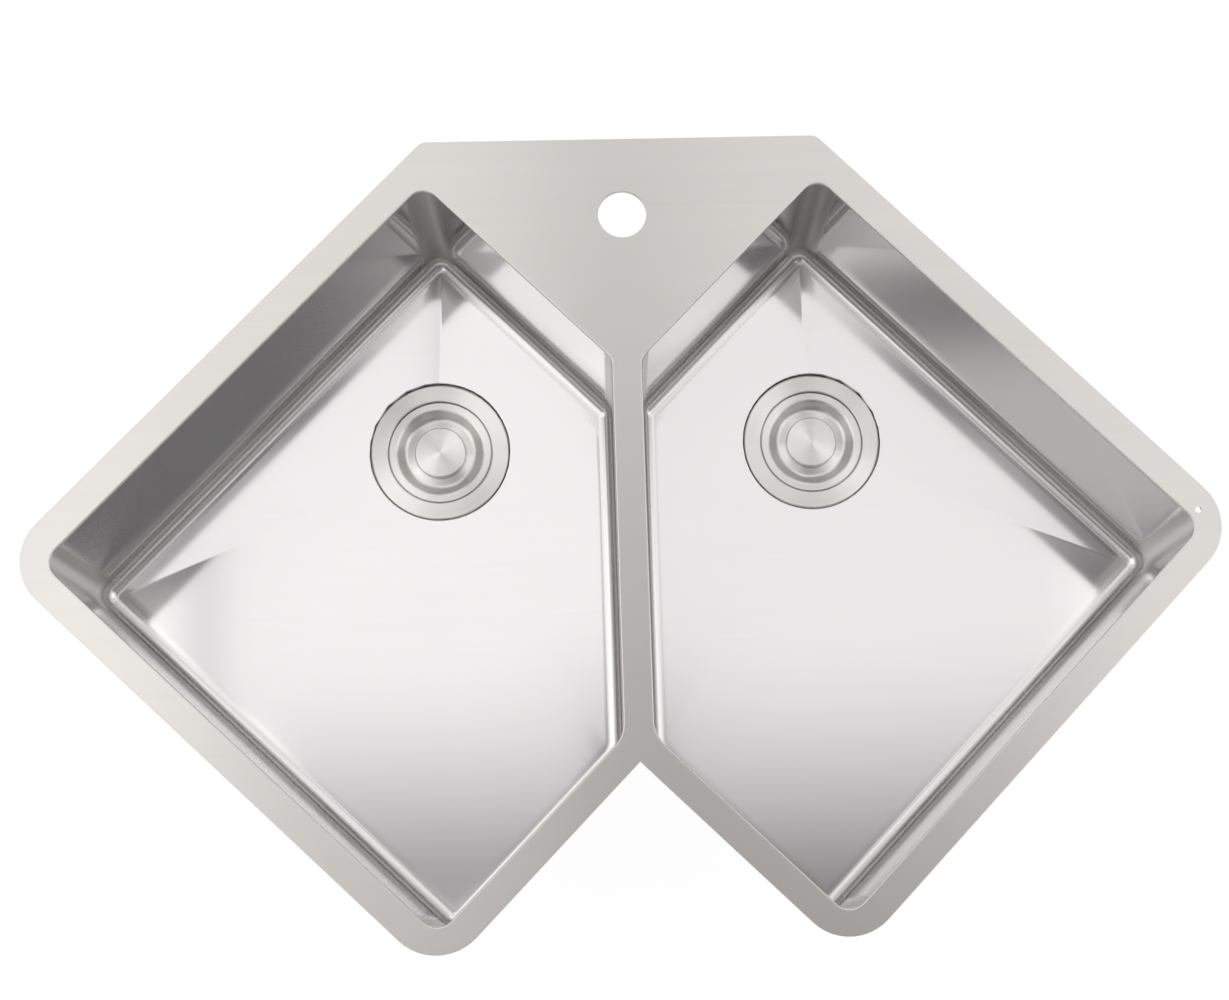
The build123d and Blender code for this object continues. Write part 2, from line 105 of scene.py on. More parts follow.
def grid_faces(rows: int, columns: int, first: int, in_order: bool) -> NDArray[np.int64]:
    """Quads of a grid whose columns close on themselves.

    Args:
        rows: Number of rows of vertices.
        columns: Number of columns of vertices.
        first: Number of the grid's first vertex.
        in_order: Whether the faces turn the way of the grid's own row and column order.

    Returns:
        One row of four vertex numbers for each face.
    """
    row, column = np.meshgrid(np.arange(rows - 1), np.arange(columns), indexing="ij")
    after = (column + 1) % columns
    quads = [row * columns + column, row * columns + after, (row + 1) * columns + after, (row + 1) * columns + column]
    faces = np.stack(quads, axis=-1).reshape(-1, 4) + first
    return faces if in_order else faces[:, ::-1]


def turn(vector: Array, angle: Array) -> Array:
    """Turns one plan vector by each of many angles, in radians."""
    cosine, sine = np.cos(angle), np.sin(angle)
    return np.stack([vector[0] * cosine - vector[1] * sine, vector[0] * sine + vector[1] * cosine], axis=-1)


def soft_maximum(values: Array, softness: float) -> Array:
    """Highest value along the last axis, rounded by a logarithm of summed exponentials."""
    top = values.max(axis=-1, keepdims=True)
    return top[..., 0] + softness * np.log(np.exp((values - top) / softness).sum(axis=-1))


# ---------------------------------------------------------------- node graphs
# Bands of brush lines from fine to broad: scale, detail and share of the sum.
BRUSH_BANDS = ((1.0, 2.0, 0.45), (0.31, 3.0, 0.35), (0.07, 2.0, 0.20))
# Brush lines per metre and their length in metres, where a finish doesn't say otherwise.
LINE_DENSITY = 700.0
LINE_LENGTH = 0.08
# Slow clouds per metre in the brushing and in the matt finishes.
BRUSH_CLOUDS = 7.0
MATT_CLOUDS = 18.0
# Detail of the noise of clouds and grains, and of that of streaks.
SOFT_DETAIL = 3.0
STREAK_DETAIL = 2.0


class Graph:
    """Short ways to fill a node tree."""

    def __init__(self, tree: bpy.types.NodeTree) -> None:
        """Keeps the tree that is filled."""
        self.tree = tree

    def node(self, kind: str, **settings: object) -> bpy.types.Node:
        """Adds a node and sets its properties.

        Args:
            kind: Blender's name of the node type.
            settings: Properties of the node, by name.

        Returns:
            The new node.
        """
        made = self.tree.nodes.new(kind)
        for key, value in settings.items():
            setattr(made, key, value)
        return made

    def feed(self, socket: bpy.types.NodeSocket, value: object) -> None:
        """Links a socket to another, or sets its own value when a plain one is given."""
        if isinstance(value, bpy.types.NodeSocket):
            self.tree.links.new(value, socket)
        else:
            socket.default_value = value

    def math(self, operation: str, *values: object) -> bpy.types.NodeSocket:
        """A Math node of one operation, fed with sockets or numbers."""
        made = self.node("ShaderNodeMath", operation=operation)
        for socket, value in zip(made.inputs, values):
            self.feed(socket, value)
        return made.outputs[0]

    def vector(self, operation: str, *values: object) -> bpy.types.NodeSocket:
        """A Vector Math node of one operation, fed with sockets or vectors."""
        made = self.node("ShaderNodeVectorMath", operation=operation)
        for socket, value in zip(made.inputs, values):
            self.feed(socket, value)
        return made.outputs["Value" if operation == "LENGTH" else "Vector"]

    def noise(self, vector: object, scale: float, detail: float, roughness: float = 0.5) -> bpy.types.NodeSocket:
        """Noise from 0 to 1 over a vector."""
        made = self.node("ShaderNodeTexNoise")
        self.feed(made.inputs["Vector"], vector)
        made.inputs["Scale"].default_value = scale
        made.inputs["Detail"].default_value = detail
        made.inputs["Roughness"].default_value = roughness
        return made.outputs["Fac"]

    def spread(self, value: object, low: object, high: object) -> bpy.types.NodeSocket:
        """Maps 0..1 onto low..high without a clamp."""
        made = self.node("ShaderNodeMapRange", clamp=False)
        self.feed(made.inputs["Value"], value)
        self.feed(made.inputs["To Min"], low)
        self.feed(made.inputs["To Max"], high)
        return made.outputs["Result"]

    def mix(self, factor: object, first: object, second: object) -> bpy.types.NodeSocket:
        """Mixes two numbers by a factor."""
        made = self.node("ShaderNodeMix", data_type="FLOAT")
        self.feed(made.inputs["Factor"], factor)
        self.feed(made.inputs["A"], first)
        self.feed(made.inputs["B"], second)
        return made.outputs["Result"]

    def blend(self, factor: object, first: object, second: object) -> bpy.types.NodeSocket:
        """Mixes two colours by a factor."""
        made = self.node("ShaderNodeMix", data_type="RGBA")
        self.feed(made.inputs["Factor"], factor)
        self.feed(made.inputs["A"], first)
        self.feed(made.inputs["B"], second)
        return made.outputs["Result"]

    def step(self, value: object, low: float, high: float) -> bpy.types.NodeSocket:
        """An S-shaped curve from 0 where the value is low to 1 where it is high."""
        made = self.node("ShaderNodeMapRange", interpolation_type="SMOOTHSTEP")
        self.feed(made.inputs["Value"], value)
        made.inputs["From Min"].default_value = low
        made.inputs["From Max"].default_value = high
        return made.outputs["Result"]


def start_group(name: str, inputs: dict[str, tuple[str, float]], outputs: dict[str, str]) -> bpy.types.NodeTree:
    """Starts a shader node group with named sockets.

    Args:
        name: Name of the group.
        inputs: Socket type and default of each input; a vector input has no default.
        outputs: Socket type of each output.

    Returns:
        The group's tree, with its sockets and no nodes.
    """
    group = bpy.data.node_groups.new(name, "ShaderNodeTree")
    for label, (kind, value) in inputs.items():
        socket = group.interface.new_socket(name=label, in_out="INPUT", socket_type=kind)
        if kind == "NodeSocketFloat":
            socket.default_value = value
    for label, kind in outputs.items():
        group.interface.new_socket(name=label, in_out="OUTPUT", socket_type=kind)
    return group


def brush_group() -> bpy.types.NodeTree:
    """Brush lines along X of the vector it is given: bands of stretched noise added together.

    Returns:
        A group with the inputs Vector, Density in lines per metre and Length in metres, and the
        outputs Lines, from 0 to 1 around one half, and Clouds, the slow change of the finish.
    """
    group = start_group(
        "brush_lines",
        {
            "Vector": ("NodeSocketVector", 0.0),
            "Density": ("NodeSocketFloat", LINE_DENSITY),
            "Length": ("NodeSocketFloat", LINE_LENGTH),
        },
        {"Lines": "NodeSocketFloat", "Clouds": "NodeSocketFloat"},
    )
    graph = Graph(group)
    given = graph.node("NodeGroupInput")
    along = graph.math("DIVIDE", 1.0, given.outputs["Length"])
    scale = graph.node("ShaderNodeCombineXYZ")
    graph.feed(scale.inputs["X"], along)
    graph.feed(scale.inputs["Y"], given.outputs["Density"])
    graph.feed(scale.inputs["Z"], given.outputs["Density"])
    stretched = graph.vector("MULTIPLY", given.outputs["Vector"], scale.outputs["Vector"])
    lines = 0.0
    for band_scale, detail, share in BRUSH_BANDS:
        lines = graph.math("MULTIPLY_ADD", graph.noise(stretched, band_scale, detail), share, lines)
    clouds = graph.noise(given.outputs["Vector"], BRUSH_CLOUDS, SOFT_DETAIL)
    end = graph.node("NodeGroupOutput")
    graph.feed(end.inputs["Lines"], lines)
    graph.feed(end.inputs["Clouds"], clouds)
    return group


# ---------------------------------------------------------------- finishes
# Share of the brush lines in a steel's colour; the clouds have the rest.
LINES_SHARE = 0.7
# Streaks on a ground bend per metre along X, Y and Z, and how much they change its roughness.
BEND_STREAKS = (1100.0, 1100.0, 9.0)
BEND_SWING = 0.12
# Clouds on the sheet's outside: how many per metre, their detail and the roughness of their noise.
MILL_CLOUDS = (24.0, 4.0, 0.6)
# How much these clouds change the outside's roughness.
MILL_SWING = 0.08
# Roughness of the dull film of hair scratches over the bright sheet.
VEIL_ROUGHNESS = 0.5
# Metres of line per radian round the drain's axis in the lathe marks.
LATHE_LENGTH = 0.05
# Share of the grain in a matt finish's colour, and how much the grain changes its roughness.
GRAIN_SHARE = 0.5
GRAIN_SWING = 0.08
# The drain's axis from the tap hole's axis in millimetres, to the side and to the front.
DRAIN_OFFSET = 155.5
DRAIN_TO_TAP = 142.5


@dataclass(frozen=True)
class SteelFinish:
    """Stainless steel with brush lines or lathe marks.

    light and dark are the colours between which the finish drifts, roughness its mean and
    roughness_swing how much the lines change it. depth is the height of the lines in metres,
    density their number per metre and length their length in metres. centre_x is where the axis
    of the lathe marks stands, in metres. bend_roughness, where it isn't 0, is the duller finish of
    the ground bends, and bend_shade_colour the darker, browner colour painted on them as shade in the
    upright corners and along the fold; mill_roughness and mill_colour are those of the sheet's
    outside. veil, where it isn't 0, is the refractive index of the dull film of hair scratches over
    the bright sheet.
    """

    name: str
    brushing: Brushing
    light: tuple[float, float, float]
    dark: tuple[float, float, float]
    roughness: float
    roughness_swing: float
    anisotropy: float
    depth: float
    density: float = LINE_DENSITY
    length: float = LINE_LENGTH
    centre_x: float = 0.0
    bend_roughness: float = 0.0
    # Darker, browner tone painted on the bends as shade.
    bend_shade_colour: tuple[float, float, float] = (0.6, 0.575, 0.54)
    mill_roughness: float = 0.42
    mill_colour: tuple[float, float, float] = (0.56, 0.555, 0.55)
    veil: float = 0.0

    def material(self, groups: dict[str, bpy.types.NodeTree]) -> bpy.types.Material:
        """Builds the material.

        Args:
            groups: The shared node groups by name.

        Returns:
            The new material.
        """
        made = bpy.data.materials.new(self.name)
        made.use_nodes = True
        graph = Graph(made.node_tree)
        shader = made.node_tree.nodes["Principled BSDF"]
        shader.inputs["Metallic"].default_value = 1.0
        shader.inputs["Anisotropic"].default_value = self.anisotropy
        if self.veil:
            shader.inputs["Coat Weight"].default_value = 1.0
            shader.inputs["Coat Roughness"].default_value = VEIL_ROUGHNESS
            shader.inputs["Coat IOR"].default_value = self.veil
        coordinates = graph.node("ShaderNodeTexCoord").outputs["Object"]
        lines_vector, tangent = self.directions(graph, coordinates)
        brush = graph.node("ShaderNodeGroup", node_tree=groups["brush"])
        graph.feed(brush.inputs["Vector"], lines_vector)
        brush.inputs["Density"].default_value = self.density
        brush.inputs["Length"].default_value = self.length
        lines, clouds = brush.outputs["Lines"], brush.outputs["Clouds"]
        tone = graph.math("MULTIPLY_ADD", lines, LINES_SHARE, graph.math("MULTIPLY", clouds, 1.0 - LINES_SHARE))
        colour = graph.blend(tone, (*self.dark, 1.0), (*self.light, 1.0))
        low, high = self.roughness - self.roughness_swing, self.roughness + self.roughness_swing
        roughness = graph.spread(lines, high, low)
        if self.bend_roughness:
            roughness, colour = self.bends(graph, coordinates, roughness, colour)
        graph.feed(shader.inputs["Base Color"], colour)
        graph.feed(shader.inputs["Roughness"], roughness)
        if self.depth:
            bump = graph.node("ShaderNodeBump")
            bump.inputs["Distance"].default_value = self.depth
            graph.feed(bump.inputs["Height"], lines)
            graph.feed(shader.inputs["Normal"], bump.outputs["Normal"])
        if self.anisotropy:
            graph.feed(shader.inputs["Tangent"], tangent)
        return made

    def bends(
        self,
        graph: Graph,
        coordinates: bpy.types.NodeSocket,
        roughness: bpy.types.NodeSocket,
        colour: bpy.types.NodeSocket,
    ) -> tuple[bpy.types.NodeSocket, bpy.types.NodeSocket]:
        """The sheet's other finishes, where the mesh attributes "bend" and "outside" mark them.

        A ground bend is duller in upright streaks, and a darker, browner colour is painted on it as shade, going by
        the mark's square. The outside keeps the mill's matt grey.

        Args:
            graph: The material's graph.
            coordinates: Object coordinates.
            roughness: Roughness of the flat sheet.
            colour: Colour of the flat sheet.

        Returns:
            The roughness and the colour with the bends and the outside in them.
        """
        mark = graph.node("ShaderNodeAttribute", attribute_name="bend").outputs["Fac"]
        streaks = graph.noise(graph.vector("MULTIPLY", coordinates, BEND_STREAKS), 1.0, STREAK_DETAIL)
        dull = graph.spread(streaks, self.bend_roughness - BEND_SWING, self.bend_roughness + BEND_SWING)
        roughness = graph.mix(mark, roughness, dull)
        # Painted shade: the bends darken towards bend_shade_colour by the mark's square.
        colour = graph.blend(graph.math("MULTIPLY", mark, mark), colour, (*self.bend_shade_colour, 1.0))
        outside = graph.node("ShaderNodeAttribute", attribute_name="outside").outputs["Fac"]
        clouds = graph.noise(coordinates, *MILL_CLOUDS)
        mill = graph.spread(clouds, self.mill_roughness - MILL_SWING, self.mill_roughness + MILL_SWING)
        return graph.mix(outside, roughness, mill), graph.blend(outside, colour, (*self.mill_colour, 1.0))

    def directions(
        self, graph: Graph, coordinates: bpy.types.NodeSocket
    ) -> tuple[bpy.types.NodeSocket, bpy.types.NodeSocket]:
        """Where the lines run: along X, or in circles round the drain's axis.

        Args:
            graph: The material's graph.
            coordinates: Object coordinates.

        Returns:
            The vector whose X runs along the lines, and the direction across them on the surface.
        """
        normal = graph.node("ShaderNodeNewGeometry").outputs["Normal"]
        if self.brushing is Brushing.TURNED:
            off_axis = graph.vector("SUBTRACT", coordinates, (self.centre_x, -DRAIN_TO_TAP * METRES, 0.0))
            outward = graph.vector("MULTIPLY", off_axis, (1.0, 1.0, 0.0))
            parts = graph.node("ShaderNodeSeparateXYZ")
            graph.feed(parts.inputs[0], off_axis)
            angle = graph.math("ARCTAN2", parts.outputs["Y"], parts.outputs["X"])
            around = graph.node("ShaderNodeCombineXYZ")
            graph.feed(around.inputs["X"], graph.math("MULTIPLY", angle, LATHE_LENGTH))
            graph.feed(around.inputs["Y"], graph.vector("LENGTH", outward))
            graph.feed(around.inputs["Z"], parts.outputs["Z"])
            sideways = graph.vector("CROSS_PRODUCT", outward, (0.0, 0.0, 1.0))
            across = graph.vector("NORMALIZE", graph.vector("CROSS_PRODUCT", normal, sideways))
            return around.outputs["Vector"], across
        return coordinates, graph.vector("CROSS_PRODUCT", normal, (1.0, 0.0, 0.0))


@dataclass(frozen=True)
class MattFinish:
    """Rubber, fibre or moulded plastic with a fine grain.

    light and dark are the colours between which the finish drifts, and roughness is its mean.
    grain is the number of grains per metre and depth their height in metres.
    """

    name: str
    light: tuple[float, float, float]
    dark: tuple[float, float, float]
    roughness: float
    grain: float
    depth: float

    def material(self) -> bpy.types.Material:
        """Builds the material.

        Returns:
            The new material.
        """
        made = bpy.data.materials.new(self.name)
        made.use_nodes = True
        graph = Graph(made.node_tree)
        shader = made.node_tree.nodes["Principled BSDF"]
        coordinates = graph.node("ShaderNodeTexCoord").outputs["Object"]
        grain = graph.noise(coordinates, self.grain, SOFT_DETAIL)
        clouds = graph.noise(coordinates, MATT_CLOUDS, SOFT_DETAIL)
        tone = graph.math("MULTIPLY_ADD", grain, GRAIN_SHARE, graph.math("MULTIPLY", clouds, 1.0 - GRAIN_SHARE))
        low, high = self.roughness - GRAIN_SWING, self.roughness + GRAIN_SWING
        graph.feed(shader.inputs["Base Color"], graph.blend(tone, (*self.dark, 1.0), (*self.light, 1.0)))
        graph.feed(shader.inputs["Roughness"], graph.spread(grain, high, low))
        bump = graph.node("ShaderNodeBump")
        bump.inputs["Distance"].default_value = self.depth
        graph.feed(bump.inputs["Height"], grain)
        graph.feed(shader.inputs["Normal"], bump.outputs["Normal"])
        return made


# ---------------------------------------------------------------- the bowls
# How wide a soft maximum rounds the line between two planes, in softnesses per unit of their slope.
ROUNDING = 4.0


@dataclass
class Bowl:
    """One bowl: upright walls, rolled folds, a floor that falls in soft-creased facets, and a seat.

    Sizes are millimetres of the right-hand bowl, and the left is its mirror image. The opening is a
    square on its corner: back_corner is its corner by the tap hole, opening its side, and divider
    how far from the middle plane its inner corner is cut off. opening_radii round its corners in
    the order of corners(). A radius shrinks down the fold, but not below least_radius. sheet is
    the sheet's thickness.

    The walls have rows at wall_heights, and one more at wall_hold above the fold. The fold has the
    radius fold, fold_rows rows, and its foot at foot_z. land is the level strip between the fold
    and the floor. The floor drops by fall to the drain, its creases are crease_width wide, and the
    facets by the divider run into each other over inner_width. Rounding lifts the floor a little,
    and the higher lift_power is, the sooner that lift is full on the way in from the land.
    floor_way lists the shares of the way to the shoulder at which the floor has rows, and
    shoulder_rows how far outside the shoulder the last ones lie.

    The shoulder is a circle of shoulder_radius round the drain. From it press_rows rows lead down
    to seat_radius at seat_z, and the seat has rows at seat_rings and ends at hole_radius.

    Each corner has corner_steps steps and each wall side_steps, and close_shares of a wall's
    length from each of its ends there are more points. upright_fade and fold_fade say over which
    shares of the fold's rows the marks of the ground corners and of the fold come and go, and
    fold_mark how strong the fold's mark is. These marks make the bends duller and darken them
    with painted shade.
    """

    side: Side
    back_corner: tuple[float, float] = (151.0, 26.8)
    opening: float = 400.0
    divider: float = 11.5
    opening_radii: tuple[float, ...] = (14.0, 14.0, 14.0, 25.0, 13.0)
    least_radius: float = 1.0
    sheet: float = 1.5
    wall_heights: tuple[float, ...] = (0.0, -1.0, -20.0, -60.0, -100.0, -140.0, -170.0)
    wall_hold: float = 2.0
    foot_z: float = -196.0
    fold: float = 12.0
    fold_rows: int = 37
    land: float = 1.5
    fall: float = 6.0
    lift_power: int = 4
    crease_width: float = 3.0
    inner_width: float = 90.0
    floor_way: tuple[float, ...] = (0.02, 0.06, 0.13, 0.22, 0.32, 0.43, 0.54, 0.64, 0.73, 0.81, 0.87, 0.92, 0.965)
    drain: tuple[float, float] = (DRAIN_OFFSET, -DRAIN_TO_TAP)
    shoulder_radius: float = 58.2
    shoulder_rows: tuple[float, ...] = (2.0, 0.5, 0.0)
    press_rows: int = 12
    seat_z: float = -203.5
    seat_radius: float = 57.5
    seat_rings: tuple[float, ...] = (56.0, 50.0)
    hole_radius: float = 45.0
    corner_steps: int = 16
    side_steps: int = 10
    close_shares: tuple[float, ...] = (0.006, 0.02)
    upright_fade: tuple[float, ...] = (0.3, 0.75)
    fold_fade: tuple[float, ...] = (0.0, 0.15, 0.85, 1.0)
    fold_mark: float = 0.45

    @property
    def arc_columns(self) -> int:
        """Columns on the arc of one corner."""
        return self.corner_steps + 1

    @property
    def block_columns(self) -> int:
        """Columns on the arc of one corner and on the wall that follows it."""
        return self.arc_columns + self.side_steps - 1 + 2 * len(self.close_shares)

    def corners(self) -> Array:
        """Sharp corners of the opening: back, outer, front, and the divider's front and back ends."""
        x, back = self.back_corner
        half = self.opening / sqrt(2)
        cut = x - self.divider
        plan = [(x, back), (x + half, back - half), (x, back - 2 * half)]
        plan += [(self.divider, back - 2 * half + cut), (self.divider, back - cut)]
        return np.array(plan)

    def plan_edges(self) -> tuple[Array, Array]:
        """Sharp corners of the opening, and the inward normal of the wall that starts at each."""
        plan = self.corners()
        edge = np.roll(plan, -1, axis=0) - plan
        edge /= np.linalg.norm(edge, axis=1)[:, None]
        return plan, np.stack([edge[:, 1], -edge[:, 0]], axis=1)

    def contour(self, inset: Array, radii: Array) -> Array:
        """Rounded outlines at given insets from the opening.

        A corner's arc is the sharp corner moved inwards along its mitre by the inset and the
        radius, and then back by the radius along a normal that turns evenly from wall to wall. A
        wall's points lie evenly between the ends of two arcs, with two more close to each end.

        Args:
            inset: Inset of each outline, one number per row.
            radii: Corner radii of each outline, one row of five per outline.

        Returns:
            Plan points, shaped rows by columns by two.
        """
        plan, after = self.plan_edges()
        before = np.roll(after, 1, axis=0)
        mitre = (before + after) / (1 + np.sum(before * after, axis=1))[:, None]
        angle = np.arccos(np.clip(np.sum(before * after, axis=1), -1, 1))
        share = np.linspace(0, 1, self.arc_columns)
        inner = np.linspace(0, 1, self.side_steps + 1)[1:-1]
        close = np.array(self.close_shares)
        between = np.concatenate([close, inner, 1 - close[::-1]])
        arcs = []
        for number in range(len(plan)):
            normals = turn(before[number], -angle[number] * share)
            reach = (inset + radii[:, number])[:, None, None]
            radius = radii[:, number][:, None, None]
            arcs.append(plan[number] + reach * mitre[number] - radius * normals)
        pieces = []
        for number, arc in enumerate(arcs):
            following = arcs[(number + 1) % len(arcs)]
            start, end = arc[:, -1:], following[:, :1]
            pieces += [arc, start + (end - start) * between[None, :, None]]
        return np.concatenate(pieces, axis=1)

    def floor_height(self, plan: Array) -> Array:
        """Height of the creased floor over plan points.

        Each wall's facet is the plane through the wall's foot line and the low point at the drain.
        The floor is the highest of these planes, and a logarithm of summed exponentials rounds the
        lines where two of them meet: widely between the three inner facets, which are one smooth
        face, and narrowly at the creases that run to the square corners.

        Args:
            plan: Plan points, last axis of two.

        Returns:
            The heights, one for each point.
        """
        corners, normal = self.plan_edges()
        reach = self.fold + self.land
        depth = np.sum((np.array(self.drain) - corners) * normal, axis=1) - reach
        inside = np.einsum("...k,ik->...i", plan, normal) - np.sum(corners * normal, axis=1) - reach
        planes = -self.fall * inside / depth
        slope = self.fall / depth.mean()
        inner = soft_maximum(planes[..., 2:], slope * self.inner_width / ROUNDING)
        facets = np.stack([planes[..., 0], planes[..., 1], inner], axis=-1)
        return self.foot_z + soft_maximum(facets, slope * self.crease_width / ROUNDING)

    def inner_face(self) -> Array:
        """The face that holds the water, from the top of the walls to the edge of the drain hole.

        Rows run down the wall, round the fold by equal angles, straight over the floor to the
        shoulder, down an S-shaped press line into the seat, and in to the hole. What the rounding
        lifts the floor at its outer edge is taken off there, so that it starts level with the land.

        Returns:
            Points of the right-hand bowl, shaped rows by columns by three.
        """
        wall_z = np.array([*self.wall_heights, self.foot_z + self.fold + self.wall_hold])
        bend = np.linspace(0, pi / 2, self.fold_rows)
        inset = np.concatenate([np.zeros(len(wall_z)), self.fold * (1 - np.cos(bend)), [self.fold + self.land]])
        height = np.concatenate([wall_z, self.foot_z + self.fold * (1 - np.sin(bend)), [self.foot_z]])
        radii = np.maximum(np.array(self.opening_radii) - inset[:, None], self.least_radius)
        upper = self.contour(inset, radii)
        walls = np.concatenate([upper, np.broadcast_to(height[:, None, None], (*upper.shape[:2], 1))], axis=2)
        foot = upper[-1]
        drain = np.array(self.drain)
        outward = self.ring_directions(foot)
        ring = drain + (self.shoulder_radius + self.shoulder_rows[0]) * outward
        way = np.concatenate([self.floor_way, np.ones(len(self.shoulder_rows))])[:, None, None]
        nearer = np.zeros_like(way)
        nearer[len(self.floor_way) :, 0, 0] = self.shoulder_rows[0] - np.array(self.shoulder_rows)
        floor_plan = foot + (ring - foot) * way - nearer * outward
        lift = (self.floor_height(foot) - self.foot_z) * (1 - way[..., 0]) ** self.lift_power
        floor = np.concatenate([floor_plan, (self.floor_height(floor_plan) - lift)[..., None]], axis=2)
        share = np.linspace(0, 1, self.press_rows + 1)[1:]
        press = share * share * (3 - 2 * share)
        narrow = self.shoulder_radius + (self.seat_radius - self.shoulder_radius) * share
        rings = np.concatenate([narrow, self.seat_rings, [self.hole_radius]])
        drop = np.append(press, np.ones(len(rings) - len(press)))[:, None]
        seat_plan = drain + rings[:, None, None] * outward
        seat_height = floor[-1, :, 2] * (1 - drop) + self.seat_z * drop
        seat = np.concatenate([seat_plan, seat_height[..., None]], axis=2)
        return np.concatenate([walls, floor, seat], axis=0)

    def ring_directions(self, foot: Array) -> Array:
        """Unit directions from the drain for every column, with the crease columns kept together.

        The columns of a corner's arc spread over the crease's width on the shoulder circle, and
        those of a wall fill the angle between two creases in the proportions of their own angles.

        Args:
            foot: Plan points of the foot contour.

        Returns:
            One unit vector for each column.
        """
        drain = np.array(self.drain)
        seen = np.unwrap(np.arctan2(*(foot - drain).T[::-1]))
        arc, block = self.arc_columns, self.block_columns
        half = self.crease_width / 2 / self.shoulder_radius
        result = seen.copy()
        starts = np.arange(0, len(foot), block)
        middle = (seen[starts] + seen[starts + arc - 1]) / 2
        middle = np.append(middle, middle[0] - 2 * pi)
        for number, start in enumerate(starts):
            result[start : start + arc] = middle[number] + half * np.linspace(1, -1, arc)
            first, last = middle[number] - half, middle[number + 1] + half
            own = seen[start + arc : start + block]
            edge = seen[start + arc - 1]
            following = seen[start + block] if start + block < len(foot) else seen[0] - 2 * pi
            result[start + arc : start + block] = first + (own - edge) / (following - edge) * (last - first)
        return np.stack([np.cos(result), np.sin(result)], axis=1)

    def bend_marks(self, rows: int, columns: int) -> NDArray[np.float32]:
        """Marks the ground bends: fully on the upright corners, and in part along the fold.

        A corner's mark reaches one column past each end of its arc. The marks make the bends duller and carry the
        shade painted on them.

        Args:
            rows: Rows of the inner face.
            columns: Columns of the inner face.

        Returns:
            One mark from 0 to 1 for each point.
        """
        bent = (np.arange(columns) + 1) % self.block_columns < self.arc_columns + 2
        row = (np.arange(rows) - len(self.wall_heights) - 1) / self.fold_rows
        upright = np.interp(row, self.upright_fade, [1.0, 0.0])
        fold = self.fold_mark * np.interp(row, self.fold_fade, [0.0, 1.0, 1.0, 0.0])
        return np.maximum(upright[:, None] * bent[None, :], fold[:, None]).astype(np.float32)

    def build(self, material: bpy.types.Material) -> bpy.types.Object:
        """Makes the closed sheet: the inner face, and the same face moved out by the sheet's thickness.

        Args:
            material: Finish of the bowl.

        Returns:
            The bowl's object.
        """
        face = self.inner_face()
        down = np.gradient(face, axis=0)
        around = (np.roll(face, -1, axis=1) - np.roll(face, 1, axis=1)) / 2
        normal = np.cross(around, down)
        normal /= np.linalg.norm(normal, axis=2)[..., None]
        back = face + normal * self.sheet
        rows, columns = face.shape[:2]
        points = np.concatenate([face.reshape(-1, 3), back.reshape(-1, 3)])
        points[:, 0] *= self.side.value
        left = self.side is Side.LEFT
        count = rows * columns
        inner = grid_faces(rows, columns, 0, left)
        outer = grid_faces(rows, columns, count, not left)
        column = np.arange(columns)
        after = (column + 1) % columns
        last = (rows - 1) * columns
        top = np.stack([column, column + count, after + count, after], axis=1)
        hole = np.stack([last + column, last + after, last + after + count, last + column + count], axis=1)
        edges = np.concatenate([top, hole])
        faces = np.concatenate([inner, outer, edges if left else edges[:, ::-1]])
        piece = add_mesh(f"{self.side.label}_bowl_sheet", points, faces, material)
        outside = np.repeat(np.array([0.0, 1.0], np.float32), count)
        # The "bend" mark makes the bends duller and carries the shade painted on them.
        for label, values in (("bend", np.tile(self.bend_marks(rows, columns).ravel(), 2)), ("outside", outside)):
            piece.data.attributes.new(label, "FLOAT", "POINT").data.foreach_set("value", values)
        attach(piece, "sink")
        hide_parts(f"{self.side.label}_bowl")
        return piece


# ---------------------------------------------------------------- pieces kept from the CAD
@dataclass
class Fittings:
    """The pieces of the frame that keep their own meshes, and the finish of each."""

    turned: tuple[str, ...] = ("drain_body", "basket", "basket_post", "lid", "lid_knob")
    rubber: tuple[str, ...] = ("flange_gasket", "under_washer", "tail_washer", "basket_stopper", "lid_seal")
    pads: tuple[str, ...] = ("wall_pads", "floor_pads")
    nuts: tuple[str, ...] = ("lock_nut", "coupling_nut")

    def dress(self, node: str, material: bpy.types.Material) -> None:
        """Gives one node of the frame its finish."""
        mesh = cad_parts[node].data
        mesh.materials.clear()
        mesh.materials.append(material)

    def dress_all(self, groups: dict[str, bpy.types.NodeTree], finishes: dict[str, bpy.types.Material]) -> None:
        """Dresses every node that stays.

        Args:
            groups: The shared node groups.
            finishes: Finished materials by name.
        """
        self.dress("deck_plate", finishes["deck"])
        self.dress("deck_stiffener", finishes["deck"])
        self.dress("rim_seal", finishes["rubber"])
        for side in Side:
            lathe = TURNED_STEEL[side].material(groups)
            chosen = [(self.turned, lathe), (self.rubber, finishes["rubber"]), (self.pads, finishes["pad"])]
            chosen += [(self.nuts, finishes["nut"]), (("friction_ring",), finishes["fibre"])]
            for names, material in chosen:
                for name in names:
                    self.dress(f"{side.label}_{name}", material)


